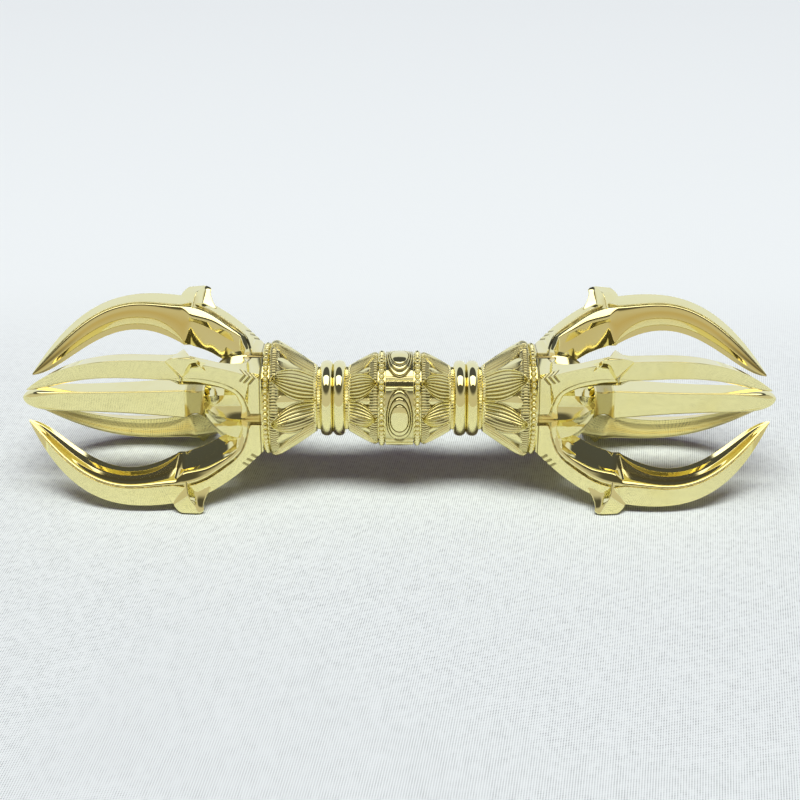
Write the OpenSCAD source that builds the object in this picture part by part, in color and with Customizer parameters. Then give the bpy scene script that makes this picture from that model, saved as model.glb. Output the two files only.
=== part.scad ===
// Five-pronged vajra of polished brass. Its long axis is X, +Z is up, and the origin is the
// middle of the grip. A tie rod strings the turned grip pieces together and screws into a hub
// at each end. Four side prongs are brazed round each hub and a centre prong is set in its tip.
// Each piece of the right-hand half is made once and mirrored for the left-hand half.

/* [Tie rod and fits] */
// Diameter of the rod through the grip
rod_d = 5; // [4:0.1:6]
// Depth to which the rod is screwed into each hub
rod_grip = 6; // [3:0.5:7]
// Radial clearance where a bore or a ring goes over a round piece
slip_fit = 0.05; // [0.02:0.01:0.12]
// Gap that the solder fills between brazed faces
braze_gap = 0.05; // [0.02:0.01:0.12]

/* [Eye band] */
// Width of the band in the middle of the grip
band_w = 5.6; // [4.6:0.1:7]
// Diameter of the band's plain ground
band_d = 18.4; // [17.6:0.1:19.2]
// Length of an eye's outer oval, round the band
eye_len = 10.4; // [8:0.1:11]
// Width of an eye's outer oval, along the grip
eye_w = 4.8; // [3:0.1:4.8]
// Height of each of an eye's three steps
eye_step = 0.22; // [0.1:0.01:0.4]
// Width of the pair of half-round rolls between the eyes
bar_w = 2.9; // [1.6:0.1:3.4]

/* [Beaded rings] */
// Width of the ring beside the eye band
inner_ring_w = 1.5; // [0.8:0.1:2]
// Height of that ring above the band's ground
inner_ring_proud = 0.4; // [0.2:0.05:0.8]
// Width of the ring at the crown
outer_ring_w = 1.5; // [1:0.1:2.4]
// Depth of that ring below the petals of its cup
outer_ring_set = 0.8; // [0.3:0.05:1.2]
// Radial thickness of both rings
ring_wall = 1.5; // [1.2:0.1:2.2]

/* [Lotus cups] */
// Length of the cup beside the eye band
inner_cup_len = 5.9; // [5:0.1:8]
// Depth of that cup's petals below its beaded ring
inner_petal_set = 0.1; // [0:0.05:0.4]
// Length of the cup beside the crown
outer_cup_len = 9.2; // [7:0.1:12]
// Diameter over that cup's petals near the rim
outer_cup_d = 24; // [23:0.1:26]
// Diameter of both cups where they meet the ferrule
cup_neck_d = 13.2; // [12.8:0.1:14.4]
// Petals round a cup
petals = 8; // [6:2:10]
// Height of a petal above the ground between the petals
petal_rise = 0.5; // [0.2:0.05:0.8]
// Plain ground left at the rim beyond the petal tips
stamen_w = 0.3; // [0.2:0.1:1.5]

/* [Waist ferrules] */
// Length of a ferrule
ferrule_len = 6.2; // [5:0.1:8]
// Diameter over its two ribs
rib_d = 15.2; // [14.4:0.1:16.4]
// Diameter of its end flanges
flange_d = 12.6; // [12:0.1:13.8]
// Width of each end flange
flange_w = 0.6; // [0.4:0.05:1.2]

/* [Hubs] */
// Width of the hub across the flats that carry the side prongs
hub_w = 12; // [11:0.1:13]
// Length of the hub from the crown's base to the centre prong
hub_len = 11.7; // [10:0.1:13]
// Width of the hub's tip across its flutes
hub_tip_d = 6.8; // [6.2:0.1:7.6]
// Flutes round the hub's calyx
flutes = 12; // [8:4:16]
// Depth of a flute at its wide end
flute_deep = 1; // [0.4:0.1:1.4]
// Width of the tongue by which a side prong is let into the hub
tongue_w = 3; // [2:0.1:4]
// Depth of that tongue
tongue_deep = 1.6; // [0.8:0.1:2]

/* [Centre prongs] */
// Reach of the centre prong from the crown's base
centre_reach = 48.65; // [44:0.05:54]
// Width of its square blade at the shoulder
centre_root_w = 6.2; // [5.2:0.1:6.6]
// Width of its square blade before the point
centre_w = 4.2; // [3.4:0.1:5]
// Length of the hollowed collar behind the blade
collar_len = 4.2; // [2.4:0.1:5]
// Width of the collar's rims
collar_w = 6.4; // [5.4:0.1:6.8]
// Depth to which the collar is hollowed
collar_hollow = 0.75; // [0.2:0.05:1]
// Length of the rounded point
point_len = 6; // [4:0.1:9]
// Diameter of the tenon in the hub
tenon_d = 3.2; // [2.6:0.1:3.6]
// Length of the tenon
tenon_len = 4.4; // [3:0.1:5]

/* [Side prongs] */
// Length of the root that closes round the hub
root_len = 2.9; // [2.4:0.1:3.6]
// Height of the ridges at the crown's base above the beaded ring
root_proud = 0.1; // [0:0.05:0.5]
// Depth of the valleys between the roots below the ridges
valley_drop = 1.4; // [1:0.05:1.8]
// Reach of a cusp between two roots, beyond the arch
cusp_len = 1.4; // [0.8:0.1:1.8]
// Reach of the side prongs from the crown's base
prong_reach = 47.3; // [43:0.1:52]
// Distance across the tips of facing prongs
tip_span = 9.4; // [8:0.1:12]
// Diameter over the ridges at the widest place
bulge_d = 45.2; // [42:0.1:50]
// Width of a stem between the root and the hook
stem_w = 5.2; // [4.6:0.1:6]
// Place of the shoulder where the blade begins
shoulder_at = 16.5; // [15:0.1:18]
// Distance across the shoulders of facing prongs
shoulder_span = 22.4; // [20:0.1:25]
// Width of a blade
blade_w = 4.9; // [4.4:0.1:6]
// Depth of a blade from ridge to inner edge
blade_deep = 8.2; // [7:0.1:9.4]
// Depth of the hollow ground into each flank
groove_deep = 1; // [0.4:0.05:1.1]

/* [Hooks] */
// Place of the hook's back, which faces the grip
hook_at = 11.3; // [10:0.1:12.5]
// Length of the hook along the ridge
hook_len = 6.5; // [5:0.1:7.5]
// Height of the hook above the ridge
hook_rise = 2.6; // [1.6:0.1:3.2]
// Width of the hook
hook_w = 5.7; // [4.6:0.1:6.4]

/* [Hidden] */
$fn = 96;
brass = "#d9c56b";
dark_brass = "#bfa650";
steel = "#9a9a98";
clear = 0.01;

// Stations along the grip, from its middle to the crown's base
ring_x = band_w / 2;
inner_cup_x = ring_x + inner_ring_w;
ferrule_x = inner_cup_x + inner_cup_len;
outer_cup_x = ferrule_x + ferrule_len;
outer_ring_x = outer_cup_x + outer_cup_len;
crown_x = outer_ring_x + outer_ring_w;

// Diameters that follow from one another, so that neighbours still meet when one is changed
inner_ring_d = band_d + 2 * inner_ring_proud;
inner_cup_d = inner_ring_d - 2 * inner_petal_set;
outer_ring_d = outer_cup_d - 2 * outer_ring_set;
root_d = outer_ring_d + 2 * root_proud;
valley_d = root_d - 2 * valley_drop;

bore_r = rod_d / 2 + slip_fit;
seat_r = hub_w / 2 + braze_gap;
hook_end = hook_at + hook_len;
ridge_top = bulge_d / 2 - 0.5;
tip_r = tip_span / 2;

ENDS = ["left", "right"];
PLACES = ["upper_front", "lower_front", "lower_back", "upper_back"];
PIECES = ["inner_beaded_ring", "inner_lotus_cup", "waist_ferrule", "outer_lotus_cup",
  "outer_beaded_ring", "prong_hub", "centre_prong"];

// Point at share t of a Bezier curve of any degree
function bezier(p, t) = len(p) == 1 ? p[0]
  : bezier([for (i = [0 : len(p) - 2]) p[i] * (1 - t) + p[i + 1] * t], t);

// Lays a piece that is made along Z down along X
module along_x() {
  rotate([0, 90, 0]) children();
}

// Extrudes a side view, drawn as distance along X and height, to both sides of the XZ plane
module side_view(width) {
  rotate([90, 0, 0]) linear_extrude(width, center = true) children();
}

// Extrudes a plan, drawn as distance along X and along Y, from one height to another
module plan_view(low, high) {
  translate([0, 0, low]) linear_extrude(high - low) children();
}

// Extrudes a cross-section, drawn as Y and height, along X
module cross_section(start, end) {
  translate([start, 0, 0]) rotate([90, 0, 90]) linear_extrude(end - start) children();
}

// Closed solid through rings of points, each ring with the same number of points
module loft(rings) {
  count = len(rings[0]);
  last = len(rings) - 1;
  sides = [for (j = [0 : last - 1]) for (k = [0 : count - 1])
    let (a = j * count + k, b = j * count + (k + 1) % count, c = b + count, d = a + count)
    each [[a, b, c], [a, c, d]]];
  polyhedron(
    points = [for (ring = rings) each ring],
    faces = concat([[for (k = [count - 1 : -1 : 0]) k]], sides,
      [[for (k = [0 : count - 1]) last * count + k]]));
}

// Grip pieces

module tie_rod() {
  rod_len = 2 * (crown_x + rod_grip);
  chamfer = 0.5;
  color(steel) along_x() rotate_extrude()
    polygon([[0, -rod_len / 2], [rod_d / 2 - chamfer, -rod_len / 2],
      [rod_d / 2, -rod_len / 2 + chamfer], [rod_d / 2, rod_len / 2 - chamfer],
      [rod_d / 2 - chamfer, rod_len / 2], [0, rod_len / 2]]);
}

function oval(length, width) =
  [for (a = [0 : 15 : 345]) [width / 2 * cos(a), length / 2 * sin(a)]];

// One oval step of an eye: its plan cut from a cylinder round the grip
module eye_step(length, width, radius) {
  intersection() {
    along_x() cylinder(r = radius, h = band_w, center = true);
    plan_view(band_d / 4, band_d) polygon(oval(length, width));
  }
}

module eye_band() {
  ground_r = band_d / 2;
  rolls = concat([[bar_w / 2, ground_r - 1]],
    [for (roll = [1, -1], a = [15 : 30 : 165])
      [bar_w / 4 * (roll + cos(a)), ground_r + 0.35 - bar_w / 4 * (1 - sin(a))]],
    [[-bar_w / 2, ground_r - 1]]);
  color(brass) difference() {
    union() {
      along_x() cylinder(r = ground_r, h = band_w, center = true);
      for (side = [0 : 3]) rotate([side * 90, 0, 0]) {
        for (step = [0 : 2])
          eye_step(eye_len * (1 - 0.22 * step), eye_w * (1 - 0.09 * step),
            ground_r + eye_step * (step + 1));
        rotate([45, 0, 0]) cross_section(0.1 - band_w / 2, band_w / 2 - 0.1) polygon(rolls);
      }
    }
    along_x() cylinder(r = bore_r, h = 2 * band_w, center = true);
  }
}

// Ring with a half-round edge, from X = 0
module beaded_ring(width, diameter) {
  round_r = diameter / 2 - width / 2;
  color(brass) along_x() rotate_extrude() translate([0, width / 2]) union() {
    translate([round_r, 0]) circle(d = width);
    translate([diameter / 2 - ring_wall, -width / 2])
      square([round_r - diameter / 2 + ring_wall, width]);
  }
}

// Radius over a cup's petals at share q of its length from neck to rim: nearly straight, then
// turned in a little at the rim
function cup_r(rim_d, q) =
  let (swell = q < 0.88 ? 1 - pow(1 - q / 0.88, 1.12) : 1 - 4.5 * pow(q - 0.88, 2))
  cup_neck_d / 2 + (rim_d - cup_neck_d) / 2 * swell;

// Share of the angle between two petals that the gap takes at share q of a petal's length:
// nothing near the neck, then an ogive up to the petal's tip
function gap_share(q) = 0.96 * pow(max(0, q - 0.22) / 0.78, 1.9);

// Outline of a turned cup from neck to rim, lowered by some depth under the petals
function cup_line(rim_d, length, from, to, depth) =
  [for (i = [0 : 6]) let (z = from + (to - from) * i / 6) [cup_r(rim_d, z / length) - depth, z]];

// Lotus cup along +X from its neck at X = 0. The petals stand out of the turned body where the
// gaps between them are cut away, and a spigot carries the beaded ring.
module lotus_cup(length, rim_d, ring_d, ring_w) {
  tip = length - stamen_w;
  spigot_r = ring_d / 2 - ring_wall - slip_fit;
  edge = [for (i = [0 : 8]) let (q = 0.22 + 0.78 * i / 8)
    [q * tip, cup_r(rim_d, q * tip / length) * tan(180 / petals * gap_share(q))]];
  gap = concat(edge, [[length, edge[8][1]], [length, -edge[8][1]]],
    [for (i = [8 : -1 : 1]) [edge[i][0], -edge[i][1]]]);
  color(dark_brass) difference() {
    along_x() rotate_extrude() polygon(concat([[bore_r, 0]],
      cup_line(rim_d, length, 0, tip, 0),
      cup_line(rim_d, length, tip, length, petal_rise + 0.05),
      [[spigot_r, length], [spigot_r, length + ring_w], [bore_r, length + ring_w]]));
    for (k = [0 : petals - 1]) rotate([(k + 0.5) * 360 / petals, 0, 0]) difference() {
      plan_view(cup_neck_d / 4, rim_d) polygon(gap);
      along_x() rotate_extrude()
        polygon(concat([[0, 0]], cup_line(rim_d, length, 0, length + 1, petal_rise), [[0, length + 1]]));
    }
  }
}

// Ferrule from X = 0: two half-round ribs between two flanges
module waist_ferrule() {
  rib_w = (ferrule_len - 2 * flange_w) / 2;
  overlap = 0.06;
  color(brass) along_x() rotate_extrude() difference() {
    union() {
      square([flange_d / 2, ferrule_len]);
      for (rib = [0, 1])
        translate([rib_d / 2 - rib_w / 2 - overlap, flange_w + rib_w * (rib + 0.5)])
          circle(r = rib_w / 2 + overlap);
    }
    translate([0, -1]) square([bore_r, ferrule_len + 2]);
  }
}

// Crown pieces, with X measured from the crown's base

// Radius of the bell-shaped calyx from the seats to the hub's tip
function bell_r(x) =
  let (wide_r = hub_w / 2 * sqrt(2) + 0.15, q = (x - root_len) / (hub_len - root_len))
  hub_tip_d / 2 + (wide_r - hub_tip_d / 2) * (1 - pow(q, 3.2));

// Half-width of the slot that the calyx leaves for the web of a prong
function slot_w(x) = 2.75 + 1.5 * exp(root_len + 1.4 - x);

// Cone between two places of the calyx, sunk below its surface and as wide as a flute there
module flute(from, to) {
  from_r = bell_r(from);
  slope = atan((from_r - bell_r(to)) / (to - from));
  wide_r = from_r * sin(180 / flutes) * 1.1;
  thin_r = bell_r(to) * sin(180 / flutes) * 1.1;
  translate([from, 0, from_r + wide_r - flute_deep]) rotate([0, 90 + slope, 0])
    cylinder(r1 = wide_r, r2 = thin_r, h = (to - from) / cos(slope) + 0.3);
}

// Square block with the prongs' seats, drawn out into a fluted calyx
module prong_hub() {
  bell_x = root_len + 1.5;
  waist_x = root_len + 0.7 * (hub_len - root_len);
  mortise_w = tongue_w + 2 * braze_gap;
  mortise_len = root_len - 1.2 + 2 * braze_gap;
  slot = [for (i = [0 : 6]) let (x = bell_x - 0.5 + (hub_len + 1 - bell_x) * i / 6) [x, slot_w(x)]];
  color(brass) difference() {
    intersection() {
      union() {
        rotate([45, 0, 0]) translate([0, -hub_w / 2, -hub_w / 2]) cube([hub_len, hub_w, hub_w]);
        difference() {
          translate([bell_x, 0, 0]) along_x() cylinder(r = hub_w, h = hub_len - bell_x);
          for (k = [0 : 3]) rotate([45 + 90 * k, 0, 0]) plan_view(hub_w / 2, 2 * hub_w)
            polygon(concat(slot, [for (i = [6 : -1 : 0]) [slot[i][0], -slot[i][1]]]));
        }
      }
      along_x() rotate_extrude() polygon(concat([[0, 0], [hub_w, 0], [hub_w, root_len]],
        [for (i = [0 : 9]) let (x = root_len + (hub_len - root_len) * i / 9) [bell_r(x), x]],
        [[0, hub_len]]));
    }
    for (k = [0 : flutes - 1]) rotate([k * 360 / flutes, 0, 0]) {
      flute(root_len + 1, waist_x);
      flute(waist_x, hub_len + 0.2);
    }
    for (k = [0 : 3]) rotate([45 + 90 * k, 0, 0])
      translate([0.6 - braze_gap, -mortise_w / 2, hub_w / 2 - tongue_deep - braze_gap])
        cube([mortise_len, mortise_w, hub_w]);
    translate([-1, 0, 0]) along_x() cylinder(r = bore_r, h = rod_grip + 1.3);
    translate([hub_len - tenon_len - 0.2, 0, 0]) along_x()
      cylinder(r = tenon_d / 2 + slip_fit, h = tenon_len + 1);
  }
}

// Half-widths of the centre prong's square section, from the hub's tip to the point
function centre_profile() =
  let (blade_x = hub_len + collar_len, point_x = centre_reach - point_len)
  concat(
    [for (i = [0 : 8]) [hub_len + collar_len * i / 8, collar_w / 2 - collar_hollow * sin(180 * i / 8)]],
    [for (i = [0 : 8]) let (q = i / 8)
      [blade_x + (point_x - blade_x) * q, centre_w / 2 + (centre_root_w - centre_w) / 2 * pow(1 - q, 2)]],
    [for (i = [1 : 9]) let (q = sin(10 * i))
      [point_x + point_len * q, centre_w / 2 * pow(1 - pow(q, 3), 0.6)]]);

module centre_prong() {
  edge = [for (p = centre_profile()) if (p[1] > clear) p];
  outline = concat(edge, [[centre_reach, 0]],
    [for (i = [len(edge) - 1 : -1 : 0]) [edge[i][0], -edge[i][1]]]);
  color(brass) union() {
    intersection() {
      side_view(2 * collar_w) polygon(outline);
      plan_view(-collar_w, collar_w) polygon(outline);
    }
    translate([hub_len - tenon_len, 0, 0]) along_x() cylinder(d = tenon_d, h = tenon_len + 1);
  }
}

// A side prong stands up along +Z. Each ring of its loft runs from the outer ridge down one
// flank to the inner edge and up the other. A flank has four points: the edge of the roof-like
// outer facets, the border's edge, the middle of the scoop and the arris of the inner facets.

// Radius of the outer ridge from the root to the end of the hook
function ridge_r(x) = root_d / 2 + (ridge_top - root_d / 2) * (1 - pow(1 - x / hook_end, 1.75));

// Radius of the stem's inner side, from the seat on the hub to the shoulder
function stem_inner_r(x) =
  let (q = (x - root_len) / (shoulder_at - root_len))
  seat_r + (shoulder_span / 2 + 0.6 - seat_r) * pow(q, 1.15);

function mirrored_ring(top, flank, bottom) = concat([top], flank, [bottom],
  [for (i = [len(flank) - 1 : -1 : 0]) [flank[i][0], -flank[i][1], flank[i][2]]]);

// Ring of the closed root at a place of its seat, with the ridge point and the outer edge at
// places of their own. The flank lies along the plane halfway to the next prong, and its outer
// edge is cut back so that two roots leave a sunk valley between them.
function root_ring(seat_x, ridge_x, edge_x) =
  let (plane = valley_d / 2 / sqrt(2) - 0.45, side = braze_gap * sqrt(2))
  mirrored_ring([ridge_x, 0, ridge_r(ridge_x)],
    concat([[edge_x / 2, plane - 0.72, plane + 1.12]],
      [for (i = [0 : 2]) let (level = plane + (seat_r - plane) * i / 2)
        [edge_x + (seat_x - edge_x) * i / 2, level - side, level]]),
    [seat_x, 0, seat_r]);

// Ring of the stem, named by the place of its ridge point. Its border starts further out, where it
// spreads into the arch over the gap. Each point is a place, a half-width and a share of the depth.
function stem_ring(x) =
  let (far = x - root_len + 0.9, wide = stem_w / 5.2, past_hook = max(0, x - 9) / 5.8)
  let (border_x = x + 1.95 * exp(-far / 3.2))
  let (top = ridge_r(x), low = stem_inner_r(max(border_x, root_len)), deep = top - low)
  let (facet = [x + 0.6 * exp(-far / 1.5), wide * (2 + 0.04 * far + 2.7 * exp(-far / 1.6)),
    0.21 + 0.39 * exp(-far / 1.1)])
  let (border = [border_x, wide * (2.4 + 0.033 * far + 2.65 * exp(-far / 1.4)),
    0.353 + 0.0108 * far + 0.3 * exp(-far / 0.9)])
  let (arris = [border_x, 1 + 3 * exp(-far / 1.5) + 0.75 * pow(past_hook, 1.5),
    0.9 - 0.235 * (1 - exp(-far / 5))])
  let (scoop = (border + arris) / 2 - [0, 0.1, 0])
  mirrored_ring([x, 0, top],
    [for (p = [facet, border, scoop, arris]) [p[0], p[1], top - deep * p[2]]],
    [border_x, 0, low]);

// Outer ridge and inner edge of the blade, as control points from shoulder to tip
function blade_ridge() =
  let (run = prong_reach - hook_end, high = bulge_d / 2)
  [[hook_end, ridge_top], [hook_end + 0.41 * run, high + 1.2],
    [hook_end + 0.71 * run, high - 1.6], [prong_reach, tip_r]];
function blade_inner() =
  let (run = prong_reach - shoulder_at, low = bulge_d / 2 - blade_deep)
  [[shoulder_at, shoulder_span / 2], [shoulder_at + 0.2 * run, low + 0.4],
    [shoulder_at + 0.53 * run, low + 5.6], [shoulder_at + 0.76 * run, tip_r - 0.2],
    [prong_reach, tip_r]];

// Ring of the blade at share s from shoulder to tip: share of depth and half-width per point. At
// its heel the scoop runs down to the inner edge, and further on it leaves a facet there.
function blade_ring(s) =
  let (taper = 1 - pow(s, 2.6), half = blade_w / 2 * taper, hollow = groove_deep * taper)
  let (heel = pow(max(0, 1 - s / 0.22), 2))
  let (top = bezier(blade_ridge(), s), low = bezier(blade_inner(), s))
  let (flank = [[0.335 - 0.06 * heel, half], [0.44 - 0.06 * heel, half - 0.1 * taper],
    [0.56 + 0.07 * heel, half - 0.8 * hollow], [0.68 + 0.26 * heel, (half - hollow) * (1 - 0.6 * heel)]])
  mirrored_ring([top[0], 0, top[1]],
    [for (f = flank) let (p = top + (low - top) * f[0]) [p[0], f[1], p[1]]],
    [low[0], 0, low[1]]);

function prong_rings() =
  let (stem_start = root_len - 0.9, stem_end = shoulder_at - 1, stem_steps = 12, blade_steps = 24)
  concat(
    [root_ring(0, 0, 0), root_ring(root_len, 0.4 * root_len, root_len + cusp_len)],
    [for (i = [0 : stem_steps])
      stem_ring(stem_start + (stem_end - stem_start) * pow(i / stem_steps, 1.3))],
    [for (i = [0 : blade_steps]) blade_ring(0.99 * i / blade_steps)]);

// One lozenge ring of the hook, with hollow back edges. Each corner is a share of the hook's
// length, a share of its half-width and a drop from its top.
function hook_ring(corners) =
  let (top = ridge_r(hook_at + hook_len / 2) + hook_rise)
  let (ring = [for (c = corners)
    [hook_at + hook_len * c[0], hook_w / 2 * c[1], top - hook_rise / 2.6 * c[2]]])
  concat(ring, [for (i = [3 : -1 : 1]) [ring[i][0], -ring[i][1], ring[i][2]]]);

// The hook from its ridge down to its foot in the stem: front point, side corner, cove and back
module hook() {
  loft([
    hook_ring([[0.723, 0, 0.25], [0.46, 0.05, 0.05], [0.25, 0.05, 0.15], [0.07, 0.04, 0.35]]),
    hook_ring([[0.8, 0, 0.55], [0.49, 0.26, 0.55], [0.27, 0.2, 0.65], [0.023, 0.12, 0.75]]),
    hook_ring([[0.908, 0, 1.25], [0.515, 0.74, 1.8], [0.27, 0.36, 1.65], [0.046, 0.15, 1.55]]),
    hook_ring([[0.954, 0, 1.7], [0.523, 0.95, 2.45], [0.27, 0.36, 2.5], [0.023, 0.16, 2.45]]),
    hook_ring([[0.992, 0, 2.25], [0.54, 0.965, 3.55], [0.27, 0.42, 3.7], [-0.046, 0.2, 3.65]]),
    hook_ring([[1.015, 0, 4.15], [0.554, 0.98, 5.85], [0.25, 0.62, 5.6], [-0.17, 0.3, 5.15]])
  ]);
}

module side_prong() {
  color(brass) union() {
    loft(prong_rings());
    hook();
    translate([0.6, -tongue_w / 2, hub_w / 2 - tongue_deep])
      cube([root_len - 1.2, tongue_w, tongue_deep + 1]);
  }
}

// Places a piece of the right-hand half, or mirrors it to the left
module at_end(end) {
  if (end == "left") mirror([1, 0, 0]) children();
  else children();
}

module end_piece(piece) {
  if (piece == "inner_beaded_ring") translate([ring_x, 0, 0]) beaded_ring(inner_ring_w, inner_ring_d);
  if (piece == "inner_lotus_cup") translate([ferrule_x, 0, 0]) mirror([1, 0, 0])
    lotus_cup(inner_cup_len, inner_cup_d, inner_ring_d, inner_ring_w);
  if (piece == "waist_ferrule") translate([ferrule_x, 0, 0]) waist_ferrule();
  if (piece == "outer_lotus_cup") translate([outer_cup_x, 0, 0])
    lotus_cup(outer_cup_len, outer_cup_d, outer_ring_d, outer_ring_w);
  if (piece == "outer_beaded_ring") translate([outer_ring_x, 0, 0]) beaded_ring(outer_ring_w, outer_ring_d);
  if (piece == "prong_hub") translate([crown_x, 0, 0]) prong_hub();
  if (piece == "centre_prong") translate([crown_x, 0, 0]) centre_prong();
}

tie_rod();
eye_band();
for (end = ENDS) for (piece = PIECES)
  at_end(end) end_piece(piece);
for (end = ENDS) for (k = [0 : 3])
  at_end(end) rotate([45 + 90 * k, 0, 0]) translate([crown_x, 0, 0]) side_prong();
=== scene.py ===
import math
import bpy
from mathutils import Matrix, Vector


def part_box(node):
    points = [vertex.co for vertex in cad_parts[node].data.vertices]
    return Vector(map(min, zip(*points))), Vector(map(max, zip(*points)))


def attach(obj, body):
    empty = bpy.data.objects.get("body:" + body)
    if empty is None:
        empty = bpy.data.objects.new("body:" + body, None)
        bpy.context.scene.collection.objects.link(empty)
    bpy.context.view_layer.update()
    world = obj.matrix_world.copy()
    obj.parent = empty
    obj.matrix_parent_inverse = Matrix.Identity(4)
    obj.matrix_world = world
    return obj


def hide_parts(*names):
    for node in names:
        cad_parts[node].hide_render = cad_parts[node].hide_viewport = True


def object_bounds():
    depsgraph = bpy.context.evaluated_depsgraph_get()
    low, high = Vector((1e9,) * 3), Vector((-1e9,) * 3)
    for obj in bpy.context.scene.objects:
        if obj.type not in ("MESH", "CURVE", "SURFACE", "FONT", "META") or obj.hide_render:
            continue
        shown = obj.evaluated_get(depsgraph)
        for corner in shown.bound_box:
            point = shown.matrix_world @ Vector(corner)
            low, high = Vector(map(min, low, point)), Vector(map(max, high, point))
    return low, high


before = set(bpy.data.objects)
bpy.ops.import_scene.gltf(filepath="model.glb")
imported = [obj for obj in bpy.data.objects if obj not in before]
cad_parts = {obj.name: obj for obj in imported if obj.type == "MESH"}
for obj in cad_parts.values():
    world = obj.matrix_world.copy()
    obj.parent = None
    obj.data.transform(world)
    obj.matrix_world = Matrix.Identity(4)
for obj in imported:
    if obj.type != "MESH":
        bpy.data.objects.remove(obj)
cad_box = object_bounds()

from types import SimpleNamespace

import bpy
import numpy as np
from mathutils import Matrix

bl_info = {
    "name": "Five-pronged vajra",
    "version": (1, 0, 0),
    "blender": (4, 5, 0),
    "location": "3D View > Sidebar > Vajra",
    "description": "Dresses the packed vajra in chased and polished brass and sets up its studio",
    "category": "Add Mesh",
}

MM = 0.001
ENDS = {"left": -1, "right": 1}
PLACES = {"upper_front": 45, "lower_front": 135, "lower_back": 225, "upper_back": 315}
# Points that round each softened corner of a ring
CORNER = 7
# Rings of a side prong for each ring that is given
STEPS = 6
# Chevrons across a root's ridge: their places in mm from the crown's base, how far they lean for each
# mm across, and the points that each facet beside the ridge has for them
CHEVRONS = (1.2, 2.05, 2.9)
LEAN = 0.85
FACET = 14


# Sizes and finishes that a user would change

def length(label, note, mm):
    return bpy.props.FloatProperty(name=label, description=note, default=mm * MM, min=0,
                                   precision=5, unit="LENGTH", subtype="DISTANCE")


def tint(label, note, colour):
    return bpy.props.FloatVectorProperty(name=label, description=note, default=colour, size=3,
                                         min=0, max=1, subtype="COLOR")


def share(label, note, value):
    return bpy.props.FloatProperty(name=label, description=note, default=value, min=0, max=1,
                                   subtype="FACTOR")


def count(label, note, value, low):
    return bpy.props.IntProperty(name=label, description=note, default=value, min=low, max=16)


def place(node, side):
    """Where a node of the right-hand half starts or ends along the grip, in mm."""
    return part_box(node)[side].x / MM


class VajraGrip(bpy.types.PropertyGroup):
    """Sizes of the turned and chased pieces of the grip."""
    bore_d: length("Bore", "Diameter of the bore through the grip pieces", 5.1)
    band_w: length("Band width", "Width of the eye band", 2 * place("eye_band", 1))
    band_d: length("Band ground", "Diameter of the eye band's plain ground", 18.4)
    eye_len: length("Eye length", "Length of an eye round the band", 12)
    eye_w: length("Eye width", "Width of an eye along the grip", 5.1)
    eye_rise: length("Eye rise", "Height of an eye's pupil above the ground", 0.62)
    bar_w: length("Bar width", "Width of the pair of rolls between the eyes", 2.9)
    bead_pitch: length("Bead pitch", "Distance between the beads of a ring", 1.2)
    ring_wall: length("Ring wall", "Radial thickness of the beaded rings", 1.5)
    neck_d: length("Cup neck", "Diameter of a lotus cup where it meets the ferrule", 13.2)
    petals: count("Petals", "Petals round a lotus cup", 8, 4)
    petal_rise: length("Petal rise", "Height of a petal above the ground between petals", 0.55)
    veins: count("Veins", "Veins chased along a petal", 8, 2)
    vein_deep: length("Vein depth", "Depth of the chasing between the veins", 0.42)
    stamen_pitch: length("Stamen pitch", "Distance between the stamens at a cup's rim", 0.62)
    stamen_w: length("Stamen border", "Width of the border of stamens", 1.75)
    rib_d: length("Rib diameter", "Diameter over the ferrule's two ribs", 15.2)
    flange_d: length("Flange diameter", "Diameter of the ferrule's end flanges", 12.6)
    flange_w: length("Flange width", "Width of the ferrule's end flanges", 0.6)


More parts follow.
